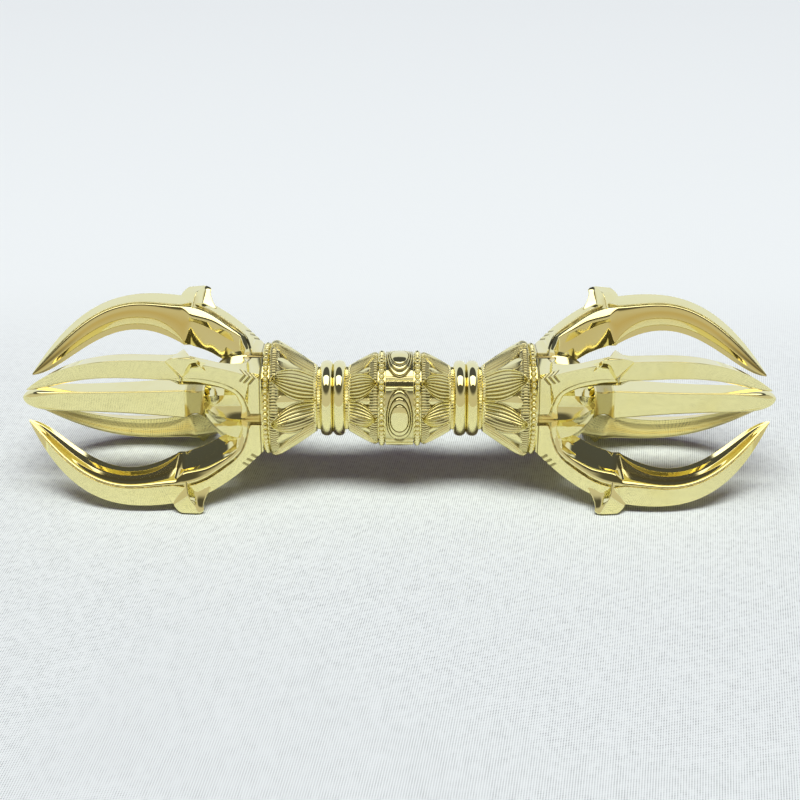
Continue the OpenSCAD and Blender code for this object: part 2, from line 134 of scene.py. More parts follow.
class VajraCrown(bpy.types.PropertyGroup):
    """Sizes of the prongs and the hubs that carry them."""
    crown_x: length("Crown", "Distance of the crown's base from the middle of the grip",
                    place("right_prong_hub", 0))
    hub_w: length("Hub width", "Width of the hub across the prongs' seats", 12)
    hub_len: length("Hub length", "Length of the hub from the crown's base", 11.7)
    hub_tip_d: length("Hub tip", "Width of the calyx at its tip", 6.8)
    calyx_d: length("Calyx width", "Width over the calyx ridges at its mouth", 19)
    flute_deep: length("Flute depth", "Depth of the calyx flutes at their wide end", 1.1)
    collar_len: length("Collar length", "Length of the centre prong's hollowed collar", 4.2)
    collar_w: length("Collar width", "Width of the collar's rims", 6.4)
    collar_hollow: length("Collar hollow", "Depth to which the collar is hollowed", 0.75)
    centre_root_w: length("Centre root", "Width of the centre prong at its shoulder", 6.2)
    centre_w: length("Centre width", "Width of the centre prong before its point", 4.2)
    centre_reach: length("Centre reach", "Reach of the centre prong from the crown's base", 48.65)
    point_len: length("Point length", "Length of the centre prong's rounded point", 6)
    root_len: length("Root length", "Length of a side prong's root", 2.9)
    root_d: length("Root diameter", "Diameter over the ridges at the crown's base", 22.6)
    valley_d: length("Valley diameter", "Diameter over the valleys between the roots", 19.8)
    cusp_len: length("Cusp length", "Reach of a cusp between two roots", 1.4)
    prong_reach: length("Prong reach", "Reach of the side prongs from the crown's base", 47.3)
    tip_span: length("Tip span", "Distance across the tips of facing prongs", 9.4)
    bulge_d: length("Bulge", "Diameter over the ridges at the widest place", 45.2)
    stem_w: length("Stem width", "Width of a stem between root and hook", 5.2)
    shoulder_at: length("Shoulder", "Place of the shoulder where the blade begins", 16.5)
    shoulder_span: length("Shoulder span", "Distance across the shoulders of facing prongs", 22.4)
    blade_w: length("Blade width", "Width of a side prong's blade", 4.9)
    blade_deep: length("Blade depth", "Depth of a blade from ridge to inner edge", 8.2)
    groove_deep: length("Groove depth", "Depth of the hollow ground into each flank", 1.0)
    hook_at: length("Hook place", "Place of the hook's back", 11.3)
    hook_len: length("Hook length", "Length of the hook along the ridge", 6.5)
    hook_rise: length("Hook rise", "Height of the hook above the ridge", 2.6)
    hook_w: length("Hook width", "Width of the hook", 5.7)
    arris: length("Arris", "Setback of the softened edges between polished faces", 0.16)


class VajraFinish(bpy.types.PropertyGroup):
    """Colours and polish of the metals, and the colour of the floor."""
    brass: tint("Brass", "Colour of clean polished brass", (0.91, 0.84, 0.415))
    # Deep brass: colour of the random tarnish patches, and of the painted shade in hollows
    tarnish_and_shade_brass: tint("Deep brass", "Colour of brass in hollows and worn lacquer", (0.84, 0.71, 0.22))
    # Painted bounce: a warm gold painted on the prongs' scoops and inner facets, standing in for light
    # bounced between the brass prongs
    gilt: tint("Painted bounce", "Colour of the prongs' inner facets", (0.80, 0.61, 0.18))
    # Dark brass: painted shade at the bottom of grooves, chased and incised lines and other hollows
    painted_shade_brass: tint("Dark brass", "Colour at the bottom of the chased lines", (0.19, 0.15, 0.045))
    polish: share("Polish roughness", "Roughness of the polished faces", 0.025)
    satin: share("Satin roughness", "Roughness of the chased faces", 0.04)
    steel: tint("Steel", "Colour of the tie rod", (0.56, 0.57, 0.58))
    cloth: tint("Floor", "Colour of the floor and the background", (0.875, 0.945, 0.88))


# Meshes

def in_mm(group):
    """A property group's values as plain numbers, with lengths in mm."""
    values = {name: getattr(group, name) for name in group.__annotations__}
    return SimpleNamespace(**{k: v / MM if isinstance(v, float) else v for k, v in values.items()})


def loop_faces(rows, cols, wrap=False):
    """Quads between rows of points, each row a closed loop; wrap joins the last row to the first."""
    row = np.arange(rows if wrap else rows - 1)[:, None]
    col = np.arange(cols)[None, :]
    after = (col + 1) % cols
    above = (row + 1) % rows
    return np.stack([row * cols + col, row * cols + after,
                     above * cols + after, above * cols + col], -1).reshape(-1, 4)


def volume(points, faces):
    """Signed volume under quads, positive where they face outwards."""
    a, b, c, d = (points[faces[:, i]] for i in range(4))
    return np.einsum("ij,ij->", a, np.cross(b, c)) + np.einsum("ij,ij->", a, np.cross(c, d))


def loft(rings):
    """Points and faces of a closed skin through rings of points, with a fan at each end."""
    rows, cols = rings.shape[:2]
    points = np.concatenate([rings.reshape(-1, 3), rings[[0, -1]].mean(1)])
    faces = loop_faces(rows, cols)
    turn = -1 if volume(points, faces) < 0 else 1
    fans = []
    for ring, centre, way in ((0, rows * cols, -turn), (rows - 1, rows * cols + 1, turn)):
        for k in range(cols):
            edge = (ring * cols + k, ring * cols + (k + 1) % cols)
            fans.append((*edge[::way], centre))
    return points, faces[:, ::turn].tolist() + fans


def angles(cols):
    """Angles of the columns of a turned skin."""
    return 2 * math.pi * np.arange(cols) / cols


def hoops(radii, cols):
    """Plain rows of a turned skin, one for each radius."""
    return np.repeat(np.array(radii)[:, None], cols, 1)


def turned(x, r):
    """Points and faces of a ring turned about the grip from a closed outline. x has the places of the
    outline's points, and r their radius at each angle, in columns from the top round the front."""
    rows, cols = r.shape
    angle = angles(cols)
    along = np.broadcast_to(np.reshape(x, (rows, -1)), r.shape)
    points = np.stack([along, -r * np.sin(angle), r * np.cos(angle)], -1).reshape(-1, 3)
    faces = loop_faces(rows, cols, wrap=True)
    if volume(points, faces) < 0:
        faces = faces[:, ::-1]
    return points, faces.tolist()


def joined(*parts):
    """Several skins as the points and faces of one mesh."""
    points, faces, start = [], [], 0
    for part_points, part_faces in parts:
        points.append(part_points)
        faces += [tuple(start + i for i in face) for face in part_faces]
        start += len(part_points)
    return np.concatenate(points), faces


def smooth(value, low, high):
    """Soft step from 0 at low to 1 at high."""
    t = np.clip((value - low) / (high - low), 0, 1)
    return t * t * (3 - 2 * t)


def softened(rings, setback):
    """Rings of corners with each corner rounded by points, of which the outer two lie on the flats."""
    setback = np.broadcast_to(setback, rings.shape[:2])[..., None]
    flats = []
    for turn in (1, -1):
        way = np.roll(rings, turn, 1) - rings
        far = np.linalg.norm(way, axis=2, keepdims=True) + 1e-9
        flats.append(rings + way / far * np.minimum(setback, 0.4 * far))
    near, gone = flats
    bends = [rings + (near - rings) * 1.22]
    for t in np.linspace(0, 1, CORNER - 2):
        bends.append((1 - t) ** 2 * near + 2 * t * (1 - t) * rings + t * t * gone)
    bends.append(rings + (gone - rings) * 1.22)
    return np.stack(bends, 2).reshape(len(rings), -1, 3)


def faired(rings, steps):
    """More rings between the given ones, on curves that never swing past them."""
    gap = np.diff(rings, axis=0)
    slope = np.zeros_like(rings)
    same = gap[1:] * gap[:-1] > 0
    total = np.where(same, gap[1:] + gap[:-1], 1)
    slope[1:-1] = np.where(same, 2 * gap[1:] * gap[:-1] / total, 0)
    slope[0], slope[-1] = gap[0], gap[-1]
    made = []
    for t in np.arange(steps) / steps:
        made.append((1 + 2 * t) * (1 - t) ** 2 * rings[:-1] + t * t * (3 - 2 * t) * rings[1:]
                    + t * (1 - t) ** 2 * slope[:-1] - t * t * (1 - t) * slope[1:])
    return np.concatenate([np.stack(made, 1).reshape(-1, *rings.shape[1:]), rings[-1:]])


def bezier(controls, t):
    """Points at shares t of a Bezier curve of any degree."""
    level = [np.multiply.outer(np.ones_like(t), np.array(p, float)) for p in controls]
    while len(level) > 1:
        level = [a * (1 - t)[:, None] + b * t[:, None] for a, b in zip(level, level[1:])]
    return level[0]


def linked(name, data):
    """A new object in the scene."""
    made = bpy.data.objects.new(name, data)
    bpy.context.scene.collection.objects.link(made)
    return made


def piece(name, points, faces, material, nodes, slot, marks, sharp=32):
    """A finished piece of the vajra that stands for CAD nodes: points in mm, in the shared frame."""
    mesh = bpy.data.meshes.new(name)
    mesh.from_pydata((np.asarray(points) * MM).tolist(), [], faces)
    for mark, values in marks.items():
        layer = mesh.attributes.new(mark, "FLOAT", "POINT")
        layer.data.foreach_set("value", np.asarray(values, np.float32).ravel())
    mesh.shade_smooth()
    mesh.set_sharp_from_angle(angle=math.radians(sharp))
    mesh.materials.append(material)
    mesh.update()
    dress(linked(name, mesh), nodes)


def dress(made, nodes):
    """Ties a piece to the body and to the CAD nodes that it stands for."""
    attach(made, "root")
    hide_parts(*nodes)


def mirrored(points, faces, side):
    """A right-hand skin as it is, or mirrored to the left with its faces turned to point out."""
    if side > 0:
        return points, faces
    return points * (-1, 1, 1), [tuple(face[::-1]) for face in faces]


def both_ends(name, node, skin, material, marks, sharp=32, slot="polished_brass"):
    """The left and the right piece made from one right-hand skin."""
    for end, side in ENDS.items():
        piece(f"{end}_{name}", *mirrored(*skin, side), material, [f"{end}_{node}"], slot, marks, sharp)


# Shaders

class Signal:
    """A socket of a node tree. Arithmetic on it adds Math nodes, so a pattern reads as a formula."""

    def __init__(self, tree, socket=None):
        self.tree = tree
        self.socket = socket

    def node(self, kind, sockets=None, out=0, **settings):
        """Adds any node: its settings first, then the values or links of its sockets."""
        made = self.tree.nodes.new(kind)
        for name, value in settings.items():
            setattr(made, name, value)
        for key, value in (sockets or {}).items():
            if isinstance(value, Signal):
                self.tree.links.new(value.socket, made.inputs[key])
            else:
                made.inputs[key].default_value = value
        return Signal(self.tree, made.outputs[out]) if made.outputs else None

    def other(self, key):
        """Another output of this socket's node."""
        return Signal(self.tree, self.socket.node.outputs[key])

    def math(self, operation, *terms):
        return self.node("ShaderNodeMath", dict(enumerate(terms)), operation=operation)

    def __add__(self, other):
        return self.math("ADD", self, other)

    def __sub__(self, other):
        return self.math("SUBTRACT", self, other)

    def __rsub__(self, other):
        return self.math("SUBTRACT", other, self)

    def __mul__(self, other):
        return self.math("MULTIPLY", self, other)

    def __abs__(self):
        return self.math("ABSOLUTE", self)

    __radd__ = __add__
    __rmul__ = __mul__

    def step(self, low, high):
        """Soft step from 0 at low to 1 at high."""
        return self.node("ShaderNodeMapRange", {"Value": self, "From Min": low, "From Max": high},
                         interpolation_type="SMOOTHSTEP")

    def noise(self, scale, detail):
        return self.node("ShaderNodeTexNoise", {"Vector": self, "Scale": scale, "Detail": detail})

    def drawn(self, part):
        """Place with its run along the grip shortened, which draws a pattern out that way."""
        return self.node("ShaderNodeVectorMath", {0: self, 1: (part, 1, 1)}, operation="MULTIPLY")

    def mark(self, name):
        """Value that a mesh carries at its points."""
        return self.node("ShaderNodeAttribute", out=2, attribute_name=name)

    def blend(self, first, second):
        """Colour between two colours, with this socket as the factor."""
        ends = [c if isinstance(c, Signal) else opaque(c) for c in (first, second)]
        return self.node("ShaderNodeMix", {0: self, 6: ends[0], 7: ends[1]}, 2, data_type="RGBA")


def opaque(colour):
    return (*colour, 1)


def new_material(name):
    """An empty material, the tools to fill it and the place on the piece."""
    material = bpy.data.materials.get(name) or bpy.data.materials.new(name)
    material.use_nodes = True
    material.node_tree.nodes.clear()
    tools = Signal(material.node_tree)
    return material, tools, tools.node("ShaderNodeTexCoord", out=3)


def finish_metal(tools, colour, roughness, height):
    """Ends a metal's tree: colour, roughness and a height in mm feed one shader."""
    bump = tools.node("ShaderNodeBump", {"Strength": 1.0, "Distance": MM, "Height": height})
    shader = tools.node("ShaderNodeBsdfPrincipled", {"Base Color": colour, "Metallic": 1.0,
                                                     "Roughness": roughness, "Normal": bump})
    tools.node("ShaderNodeOutputMaterial", {"Surface": shader})


def wheel_polish(tools, spot, finish):
    """Hollows, colour, roughness and height of polished brass: faint waves and hairlines left by the
    wheel, and a deeper colour in hollows, which is painted shade."""
    wave = spot.noise(180, 2.0)
    hairline = spot.drawn(0.25).noise(5200, 2.0)
    tarnish = spot.noise(90, 4.0).step(0.45, 0.75)
    hollow = tools.mark("hollow")
    # Painted shade: the hollow mark darkens the brass towards deep brass; the tarnish patches are
    # random
    tone = (0.3 * tarnish + 0.7 * hollow).blend(finish.brass, finish.tarnish_and_shade_brass)
    roughness = finish.polish + 0.03 * hairline + 0.03 * tarnish + 0.08 * hollow
    return hollow, tone, roughness, 0.0035 * wave + 0.0004 * hairline


def polished_brass(finish):
    """Bright brass, with painted shade at the bottom of its grooves."""
    material, tools, spot = new_material("polished_brass")
    hollow, tone, roughness, height = wheel_polish(tools, spot, finish)
    # Painted shade at the bottom of the grooves
    colour = (0.7 * hollow.step(0.7, 1.0)).blend(tone, finish.painted_shade_brass)
    finish_metal(tools, colour, roughness, height)
    return material


def prong_brass(finish):
    """Bright brass of a side prong: painted shade in the incised lines and chevrons, a painted shadow
    line round the root's base, and painted bounce gold on the inner facets.
    """
    material, tools, spot = new_material("incised_brass")
    hollow, tone, roughness, height = wheel_polish(tools, spot, finish)
    along = tools.mark("along")
    across = abs(tools.mark("across"))
    bow = along - LEAN * across
    # Painted shadow: a dark line round the root's base, where the root meets the hub
    cut = 1 - abs(along - 0.35).step(0.05, 0.16)
    # Painted shade in the chevrons cut across the ridge
    for start in CHEVRONS:
        line = (1 - abs(bow - start).step(0.08, 0.26)) * (1 - across.step(1.1, 1.4))
        cut = cut.math("MAXIMUM", cut, line)
    # Painted shade in the incised line beside the ridge's facet
    incised = hollow.step(0.12, 0.6) * (0.4 + 0.6 * spot.noise(800, 2.0).step(0.4, 0.56))
    # Painted bounce: warm gold where light bounced between the prongs would fall
    tone = tools.mark("gilt").blend(tone, finish.gilt)
    colour = (0.75 * cut.math("MAXIMUM", cut, incised)).blend(tone, finish.painted_shade_brass)
    finish_metal(tools, colour, roughness + 0.15 * cut, height - 0.05 * cut)
    return material


def chased_brass(finish):
    """Satin brass of the chased ornament: punch grain, random deeper patches, and painted shade that
    darkens the chased lines and hollows.
    """
    material, tools, spot = new_material("chased_brass")
    grain = spot.noise(3800, 3.0)
    patch = spot.noise(240, 3.0).step(0.4, 0.7)
    hollow = tools.mark("hollow")
    tone = (0.25 * patch).blend(finish.brass, finish.tarnish_and_shade_brass)
    # Painted shade: the hollow mark darkens the chased lines and hollows
    colour = (0.95 * hollow).blend(tone, finish.painted_shade_brass)
    roughness = finish.satin + 0.04 * grain + 0.12 * hollow - 0.02 * patch
    finish_metal(tools, colour, roughness, 0.006 * grain)
    return material


def drawn_steel(finish):
    """Drawn steel of the tie rod: fine lines along it and a little dark scale."""
    material, tools, spot = new_material("drawn_steel")
    line = spot.drawn(0.02).noise(2600, 2.0)
    scale = spot.noise(130, 4.0).step(0.5, 0.8)
    dark = [0.45 * c for c in finish.steel]
    colour = (0.6 * scale).blend(finish.steel, dark)
    finish_metal(tools, colour, 0.25 + 0.15 * line + 0.15 * scale, 0.01 * line)
    return material


def floor_cloth(finish):
    """Pale cloth that takes the shadow near the vajra and runs out into the background further off."""
    material, tools, spot = new_material("floor_cloth")
    away = tools.node("ShaderNodeVectorMath", {0: spot}, 1, operation="LENGTH")
    along = tools.node("ShaderNodeSeparateXYZ", {"Vector": spot})
    across = along.other(1)
    turns = 2 * math.pi / (0.62 * MM)
    warp = along.math("SINE", turns * (0.8 * along + 0.6 * across))
    weft = along.math("SINE", turns * (0.6 * along - 0.8 * across))
    weave = 0.5 - 0.35 * warp * weft + 0.35 * (spot.noise(900, 2.0) - 0.5)
    # Painted light falloff: near and far paint the cloth darker at the front and lighter at the back,
    # standing in for uneven light across it
    near, far, gap = ([part * c for c in finish.cloth] for part in (0.83, 0.885, 0.2))
    ground = across.step(-0.06, 0.15).blend(near, far)
    thread = weave.math("MAXIMUM", weave.step(0.08, 0.46), across.step(-0.01, 0.1))
    colour = thread.blend(gap, ground)
    bump = tools.node("ShaderNodeBump", {"Strength": 0.35, "Distance": 0.05 * MM, "Height": weave})
    lit = tools.node("ShaderNodeBsdfDiffuse", {"Color": colour, "Normal": bump})
    pale = tools.node("ShaderNodeEmission", {"Color": opaque(finish.cloth), "Strength": 1.0})
    ray = tools.node("ShaderNodeLightPath")
    seen = ray + ray.other("Is Glossy Ray") + ray.other("Is Transmission Ray")
    plain = ray.math("MINIMUM", seen, 1.0) * away.step(0.4, 1.1)
    surface = tools.node("ShaderNodeMixShader", {0: plain, 1: lit, 2: pale})
    tools.node("ShaderNodeOutputMaterial", {"Surface": surface})
    return material


# Pieces

class VAJRA_OT_tie_rod(bpy.types.Operator):
    """Gives the tie rod, which keeps its CAD shape, its drawn steel"""
    bl_idname = "vajra.tie_rod"
    bl_label = "Tie Rod"

    def execute(self, context):
        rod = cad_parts["tie_rod"]
        rod.data.materials.clear()
        rod.data.materials.append(drawn_steel(context.scene.vajra_finish))
        return {"FINISHED"}


class VAJRA_OT_eye_band(bpy.types.Operator):
    """Makes the band of four stepped eyes with raised bars between them"""
    bl_idname = "vajra.eye_band"
    bl_label = "Eye Band"

    def execute(self, context):
        size = in_mm(context.scene.vajra_grip)
        cols, rows = 800, 72
        x = np.linspace(-size.band_w / 2, size.band_w / 2, rows)[:, None]
        turn = np.arange(cols) / cols * 4
        quarter = (turn + 0.5) % 1 - 0.5
        arc = quarter * math.pi / 2 * size.band_d / 2
        bar_arc = ((turn % 1) - 0.5) * math.pi / 2 * size.band_d / 2
        ovals = [np.sqrt((arc / (size.eye_len / 2 * a)) ** 2 + (x / (size.eye_w / 2 * b)) ** 2)
                 for a, b in ((1, 1), (0.74, 0.85), (0.5, 0.71))]
        cords = []
        for outer, inner in zip(ovals, ovals[1:]):
            inside = np.clip(1 - outer, 0, 1)
            across = inside / (inside + np.clip(inner - 1, 0, 9) + 1e-6)
            cords.append(np.sqrt(np.clip(1 - (2 * across - 1) ** 2, 0, 1)) * (outer < 1) * (inner > 1))
        pupil = np.clip(1 - ovals[2] ** 2, 0, 1) ** 0.4
        steps = 0.42 * cords[0] + (ovals[1] < 1) * (0.12 + 0.46 * cords[1])
        steps = steps + (ovals[2] < 1) * (0.13 + 0.75 * pupil)
        lines = np.maximum.reduce([np.exp(-((oval - 1) / 0.045) ** 2) for oval in ovals])
        roll = (np.abs(bar_arc) - 0.35 * size.bar_w) / (0.15 * size.bar_w)
        bar = np.sqrt(np.clip(1 - roll ** 2, 0, 1)) + 0 * x
        edge = 1 - smooth(size.band_w / 2 - np.abs(x), 0.0, 0.12)
        lift = size.eye_rise * steps + 0.36 * bar - 0.1 * edge - 0.12 * lines
        # Painted shade: the eyes' outlines, the low ground round the eyes and the dip between the rolls
        # are darkened
        hollow = smooth(0.12 - lift, 0, 0.16) * 0.25
        sunk = 0.06 * (1 - smooth(np.abs(bar_arc), 0.18 * size.bar_w, 0.24 * size.bar_w)) + 0 * x
        hollow = np.maximum.reduce([hollow, lines, sunk])
        bore = hoops([size.bore_d / 2] * 2, cols)
        places = np.concatenate([x[:, 0], [x[-1, 0], x[0, 0]]])
        skin = turned(places, np.concatenate([size.band_d / 2 + lift, bore]))
        marks = {"hollow": np.concatenate([hollow, 0 * bore])}
        piece("eye_band_chased", *skin, chased_brass(context.scene.vajra_finish),
              ["eye_band"], "polished_brass", marks)
        return {"FINISHED"}


def bead_tree():
    """Geometry nodes of a beaded ring: a channelled hoop and a row of punched beads round it."""
    tree = bpy.data.node_groups.new("beaded_ring", "GeometryNodeTree")
    face = tree.interface
    kinds = {"Beads": "Int", "Radius": "Float", "Bead Size": "Float", "Width": "Float", "Wall": "Float",
             "Place": "Float", "Brass": "Material"}
    for label, kind in kinds.items():
        face.new_socket(label, in_out="INPUT", socket_type=f"NodeSocket{kind}")
    face.new_socket("Geometry", in_out="OUTPUT", socket_type="NodeSocketGeometry")
    start = tree.nodes.new("NodeGroupInput")
    value = {label: Signal(tree, start.outputs[label]) for label in kinds}
    tools = Signal(tree)
    size = value["Bead Size"]
    hoop_r = value["Radius"] - 0.5 * value["Wall"]
    hoop = tools.node("GeometryNodeCurvePrimitiveCircle", {"Resolution": 160, "Radius": hoop_r})
    outline = tools.node("GeometryNodeCurvePrimitiveQuadrilateral",
                         {"Width": value["Wall"], "Height": value["Width"]})
    body = tools.node("GeometryNodeCurveToMesh", {"Curve": hoop, "Profile Curve": outline})
    row = tools.node("GeometryNodeMeshCircle", {"Vertices": value["Beads"], "Radius": value["Radius"]})
    bead = tools.node("GeometryNodeMeshUVSphere", {"Segments": 10, "Rings": 7, "Radius": size})
    spot = tools.node("GeometryNodeInputPosition")
    height = tools.node("ShaderNodeSeparateXYZ", {"Vector": spot}, 2)
    top = tools.node("FunctionNodeCompare", {0: height, 1: size * 0.97}, operation="GREATER_THAN")
    dip = tools.node("ShaderNodeCombineXYZ", {"Z": size * -0.45})
    punched = tools.node("GeometryNodeSetPosition", {"Geometry": bead, "Selection": top, "Offset": dip})
    turn = tools.node("FunctionNodeAlignRotationToVector", {"Vector": spot}, axis="Z")
    beads = tools.node("GeometryNodeInstanceOnPoints",
                       {"Points": row, "Instance": punched, "Rotation": turn})
    both = tools.node("GeometryNodeJoinGeometry")
    for part in (body, beads):
        tree.links.new(part.socket, both.socket.node.inputs[0])
    move = tools.node("ShaderNodeCombineXYZ", {"X": value["Place"]})
    laid = tools.node("GeometryNodeTransform",
                      {"Geometry": both, "Translation": move, "Rotation": (0, math.pi / 2, 0)})
    plain = tools.node("GeometryNodeRealizeInstances", {"Geometry": laid})
    brass = tools.node("GeometryNodeSetMaterial", {"Geometry": plain, "Material": value["Brass"]})
    tools.node("NodeGroupOutput", {"Geometry": brass})
    return tree


class VAJRA_OT_beaded_rings(bpy.types.Operator):
    """Makes the four beaded rings with geometry nodes"""
    bl_idname = "vajra.beaded_rings"
    bl_label = "Beaded Rings"

    def execute(self, context):
        size = in_mm(context.scene.vajra_grip)
        tree = bead_tree()
        brass = chased_brass(context.scene.vajra_finish)
        keys = {s.name: s.identifier for s in tree.interface.items_tree if s.in_out == "INPUT"}
        pitch = size.bead_pitch * MM
        for end in ENDS:
            for which in ("inner", "outer"):
                node = f"{end}_{which}_beaded_ring"
                low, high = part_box(node)
                width = high.x - low.x
                bead = min(0.55 * pitch, 0.49 * width)
                centre = high.z - bead
                made = linked(f"{end}_{which}_beads", bpy.data.meshes.new(node))
                nodes = made.modifiers.new("Beaded ring", "NODES")
                nodes.node_group = tree
                values = {"Beads": round(2 * math.pi * centre / pitch), "Radius": centre,
                          "Bead Size": bead, "Width": 0.97 * width, "Wall": size.ring_wall * MM - bead,
                          "Place": (low.x + high.x) / 2, "Brass": brass}
                for label, value in values.items():
                    nodes[keys[label]] = value
                depsgraph = context.evaluated_depsgraph_get()
                plain = bpy.data.meshes.new_from_object(made.evaluated_get(depsgraph))
                made.modifiers.clear()
                made.data = plain
                plain.shade_smooth()
                plain.set_sharp_from_angle(angle=math.radians(40))
                dress(made, [node])
        return {"FINISHED"}


def lotus_cup(size, long, rim_r, ring_w, spigot_r):
    """Points, faces and hollows of a lotus cup along +X from its neck, in mm."""
    cols, rows = 704, 100
    q = np.linspace(0, 1, rows)[:, None]
    tip = 1 - 0.12 / long
    band = 1 - size.stamen_w / long
    neck_r = size.neck_d / 2
    swell = np.where(q < 0.88, 1 - np.clip(1 - q / 0.88, 0, 1) ** 1.12, 1 - 4.5 * (q - 0.88) ** 2)
    wide = neck_r + (rim_r - neck_r) * swell
    # Petals with their veins and lips
    step = 2 * math.pi / size.petals
    turn = angles(cols)
    off = (turn + step / 2) % step - step / 2
    p = q / tip
    gone = 0.96 * (np.clip(p - 0.22, 0, 1) / 0.78) ** 1.9
    half = np.where(p < 1, step / 2 * (1 - gone), 1e-4)
    inside = (half - np.abs(off)) * wide
    petal = smooth(inside, -0.05, 0.14) * (p < 1.01)
    f = np.clip(off / half, -1, 1)
    crown = 0.2 * (1 - f ** 2)
    fade = smooth(inside, 0.12, 0.4) * smooth(p, 0.0, 0.1)
    vein = np.abs(np.cos(math.pi / 2 * size.veins * f))
    chase = size.vein_deep * fade * (1 - vein ** 2)
    lip = 0.08 * np.exp(-((inside - 0.17) / 0.1) ** 2)
    # Second row, which shows as a ridged lens between the petals
    between = (turn % step) - step / 2
    open_half = step / 2 * gone + 1e-4
    lens_half = np.minimum(open_half + 0.02, 0.2) * np.sqrt(np.clip((band + 0.04 - q) / 0.25, 0, 1))
    lens = smooth((lens_half - np.abs(between)) * wide, 0, 0.18)
    ridge = 0.3 * (1 - np.clip(np.abs(between) * wide / 1.8, 0, 1))
    # Stamens round the rim
    stamens = round(2 * math.pi * rim_r / size.stamen_pitch / size.petals) * size.petals
    thread = np.sqrt(np.abs(np.cos(turn * stamens / 2)))
    fringe = smooth(q, band - 0.05, band + 0.02)
    stamen = (0.02 + 0.36 * thread) * fringe
    ground = size.petal_rise - np.maximum(lens * (0.14 + ridge), stamen * (1 - lens))
    relief = petal * (-chase + lip + crown - 0.2) - (1 - petal) * ground
    radius = wide + relief - 0.1 * smooth(q, 0.98, 1.0)
    # Painted shade: dark lines on the ground between the petals and stamens, in the chasing and along
    # the petals' edges
    hollow = (1 - petal) * (1 - lens) * (1 - 0.9 * thread ** 2 * fringe)
    hollow = np.maximum(hollow, petal * np.clip(chase / size.vein_deep, 0, 1) ** 3.2)
    edge = np.exp(-((inside + 0.05) / 0.08) ** 2) * smooth(p, 0.2, 0.35) * (p < 1)
    hollow = np.maximum(hollow, 0.95 * edge)
    inner = hoops([spigot_r, spigot_r, size.bore_d / 2, size.bore_d / 2], cols)
    places = np.concatenate([q[:, 0] * long, [long, long + ring_w, long + ring_w, 0]])
    points, faces = turned(places, np.concatenate([radius, inner]))
    return points, faces, np.concatenate([hollow, 0 * inner])


class VAJRA_OT_lotus_cups(bpy.types.Operator):
    """Makes the four lotus cups: veined petals, a second row between them and a border of stamens"""
    bl_idname = "vajra.lotus_cups"
    bl_label = "Lotus Cups"

    def execute(self, context):
        size = in_mm(context.scene.vajra_grip)
        brass = chased_brass(context.scene.vajra_finish)
        for which, side, way in (("inner", 0, -1), ("outer", 1, 1)):
            neck = place("right_waist_ferrule", side)
            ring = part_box(f"right_{which}_beaded_ring")
            ring_w = (ring[1].x - ring[0].x) / MM
            near = min(abs(corner.x / MM - neck) for corner in ring)
            spigot_r = ring[1].z / MM - size.ring_wall - 0.05
            rim_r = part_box(f"right_{which}_lotus_cup")[1].z / MM
            points, faces, hollow = lotus_cup(size, near, rim_r, ring_w, spigot_r)
            points, faces = mirrored(points, faces, way)
            both_ends(f"{which}_petals", f"{which}_lotus_cup", (points + (neck, 0, 0), faces), brass,
                      {"hollow": hollow}, 60, "chased_brass")
        return {"FINISHED"}


class VAJRA_OT_waist_ferrules(bpy.types.Operator):
    """Turns the two ribbed ferrules between the lotus cups"""
    bl_idname = "vajra.waist_ferrules"
    bl_label = "Waist Ferrules"

    def execute(self, context):
        size = in_mm(context.scene.vajra_grip)
        start, stop = place("right_waist_ferrule", 0), place("right_waist_ferrule", 1)
        cols, notches, notch_deep = 480, 60, 0.09
        rib_w = (stop - start - 2 * size.flange_w) / 2
        low = size.flange_d / 2
        outline = [(start, low - 0.12), (start + 0.1, low), (start + size.flange_w - 0.1, low)]
        for rib in (0, 1):
            centre = start + size.flange_w + rib_w * (rib + 0.5)
            for a in np.radians(np.linspace(-87, 87, 29)):
                outline.append((centre + rib_w / 2 * math.sin(a),
                                size.rib_d / 2 - 0.95 * (1 - math.cos(a))))
        outline += [(stop - size.flange_w + 0.1, low), (stop - 0.1, low), (stop, low - 0.12),
                    (stop, size.bore_d / 2), (start, size.bore_d / 2)]
        outline = np.array(outline)
        radius = np.repeat(outline[:, 1:], cols, 1)
        notch = notch_deep * np.cos(notches * angles(cols))
        for row in (1, 2, -5, -4):
            radius[row] += notch - notch_deep
        points, faces = turned(outline[:, 0], radius)
        x = points[:, 0]
        from_end = np.minimum(abs(x - start), abs(x - stop))
        gap = np.minimum(abs(x - (start + stop) / 2), from_end - size.flange_w + 0.1)
        # Painted shade: the flanges and the dip between the ribs are darkened
        hollow = 0.65 * np.where(gap < 0, 1, 1 - smooth(gap, 0.05, 0.35))
        brass = polished_brass(context.scene.vajra_finish)
        both_ends("ribbed_waist", "waist_ferrule", (points, faces), brass, {"hollow": hollow})
        return {"FINISHED"}


